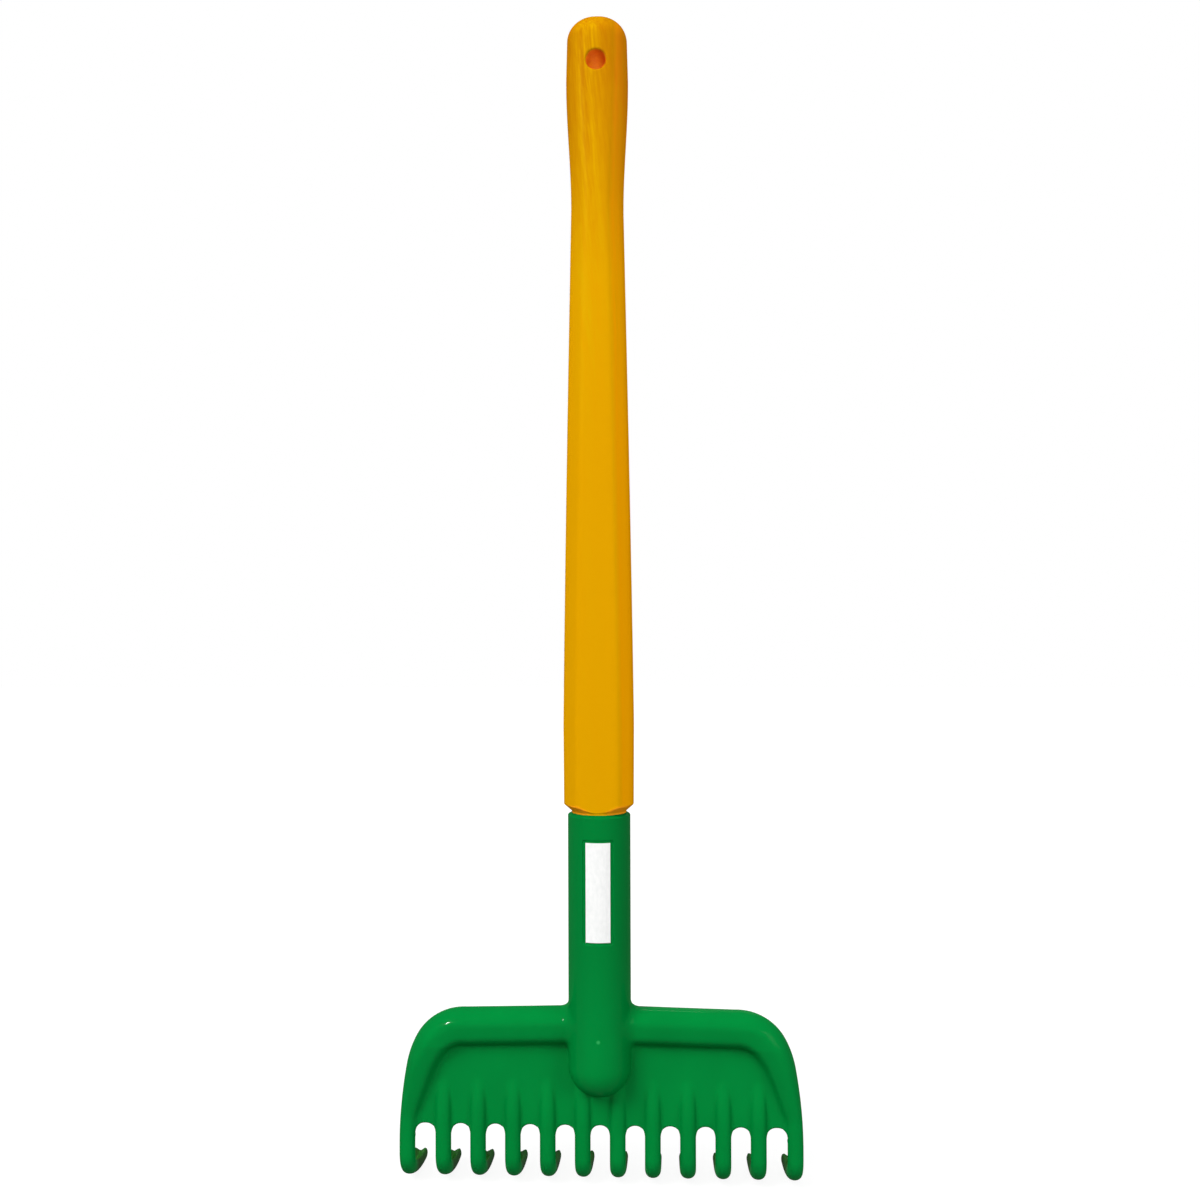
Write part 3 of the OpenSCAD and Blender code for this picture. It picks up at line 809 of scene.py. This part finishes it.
# The lamps: four wide soft boxes round the rake, a small one behind the hang hole that lights its bore,
# and a small one up on the left whose mirror image is the glint on the head's corner. Each hangs out of
# the camera's sight.

hang_hole, rake_middle, head_middle = (0, 0, 0), (0, 0, -0.3), (0, 0, -0.45)


def stand(thing, place, right, up, back):
    """Sets a thing at a place, with its own three axes along the directions right, up and back."""
    turn = np.array([right, up, back]).T
    thing.matrix_world = Matrix.Translation(place) @ Matrix(turn.tolist()).to_4x4()


def soft_lamp(name, place, aim, size, watts):
    """A square soft lamp at a place, turned to its aim and out of the camera's sight."""
    lamp = bpy.data.lights.new(name, "AREA")
    lamp.size = size
    lamp.energy = watts
    thing = bpy.data.objects.new(name, lamp)
    thing.visible_camera = False
    bpy.context.scene.collection.objects.link(thing)
    back = np.array(place) - np.array(aim)
    back = back / np.linalg.norm(back)
    right = np.cross([0, 0, 1], back)
    right = right / np.linalg.norm(right)
    stand(thing, place, right, np.cross(back, right), back)
    return thing


top_lamp = soft_lamp("top", place=(-1.7, -2.1, 2.0), aim=rake_middle, size=1.8, watts=112)
front_lamp = soft_lamp("front", place=(-0.3, -2.2, -0.4), aim=rake_middle, size=1.0, watts=11)
soft_lamp("right", place=(2.0, -1.6, 0.4), aim=rake_middle, size=1.2, watts=25)
soft_lamp("back", place=(0.4, 1.9, 0.9), aim=rake_middle, size=1.2, watts=10)
soft_lamp("bore", place=(0.03, 0.25, -0.07), aim=hang_hole, size=0.1, watts=0.92)
spark_lamp = soft_lamp("spark", place=(-0.717, -0.99, 0.37), aim=head_middle, size=0.12, watts=38)
# the two wide lamps in front light the rake and don't mirror in it, and the glint's lamp only mirrors
top_lamp.visible_glossy = False
front_lamp.visible_glossy = False
spark_lamp.visible_diffuse = False


# The camera: a plain lens 700 mm in front of the rake and level with the middle of its length. It stands
# a little to the right of the rake, turned back towards it, with a slight roll.

camera_place = (0.0346, -0.7, -0.2717)
camera_yaw, camera_roll = math.radians(2.77), math.radians(-0.16)
camera_data = bpy.data.cameras.new("camera")
camera_data.sensor_width = 36.0
camera_data.lens = 41.04
camera = bpy.data.objects.new("camera", camera_data)
bpy.context.scene.collection.objects.link(camera)
ahead = np.array([-math.sin(camera_yaw), math.cos(camera_yaw), 0])
level_right = np.array([math.cos(camera_yaw), math.sin(camera_yaw), 0])
upright = np.array([0, 0, 1])
camera_right = level_right * math.cos(camera_roll) + upright * math.sin(camera_roll)
camera_up = upright * math.cos(camera_roll) - level_right * math.sin(camera_roll)
stand(camera, camera_place, camera_right, camera_up, -ahead)
bpy.context.scene.camera = camera
bpy.context.scene.view_settings.view_transform = "Standard"
